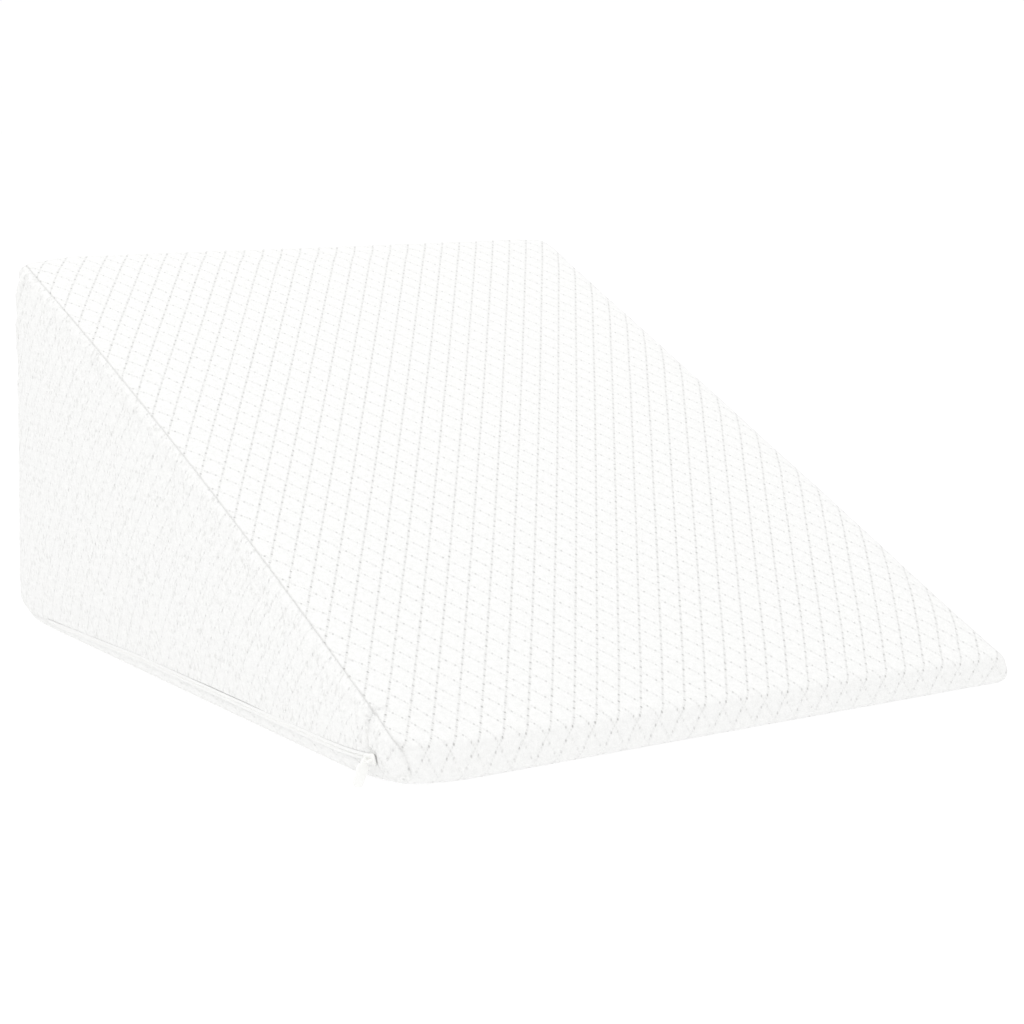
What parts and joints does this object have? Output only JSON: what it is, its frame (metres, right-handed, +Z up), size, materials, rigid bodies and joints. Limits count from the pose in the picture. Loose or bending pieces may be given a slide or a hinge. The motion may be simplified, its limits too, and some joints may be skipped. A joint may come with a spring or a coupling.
{
  "type": "leg pillow",
  "caption": "Wedge-shaped foam leg pillow in a white diamond-knit cover, with a long slope, a low blunt nose and a zip along the foot of one side.",
  "frame": {"origin": "middle of the flat base, on the surface that the pillow stands on", "axes": "+Z up, +Y from the nose to the tall back, +X to the right when facing the back, so that the zip is on the -X side"},
  "size_m": [0.5258, 0.6006, 0.2921],
  "materials": {
    "cover_knit": "white double knit with a fine pin-stitched diamond repeat",
    "zip_tape": "white woven tape with a fine nylon coil",
    "zip_hardware": "white enamel"
  },
  "bodies": {
    "root": {"wedge_cushion": "cover_knit", "zip_chain": "zip_tape", "zip_slider": "zip_hardware", "zip_pull": "zip_hardware"}
  },
  "joints": []
}
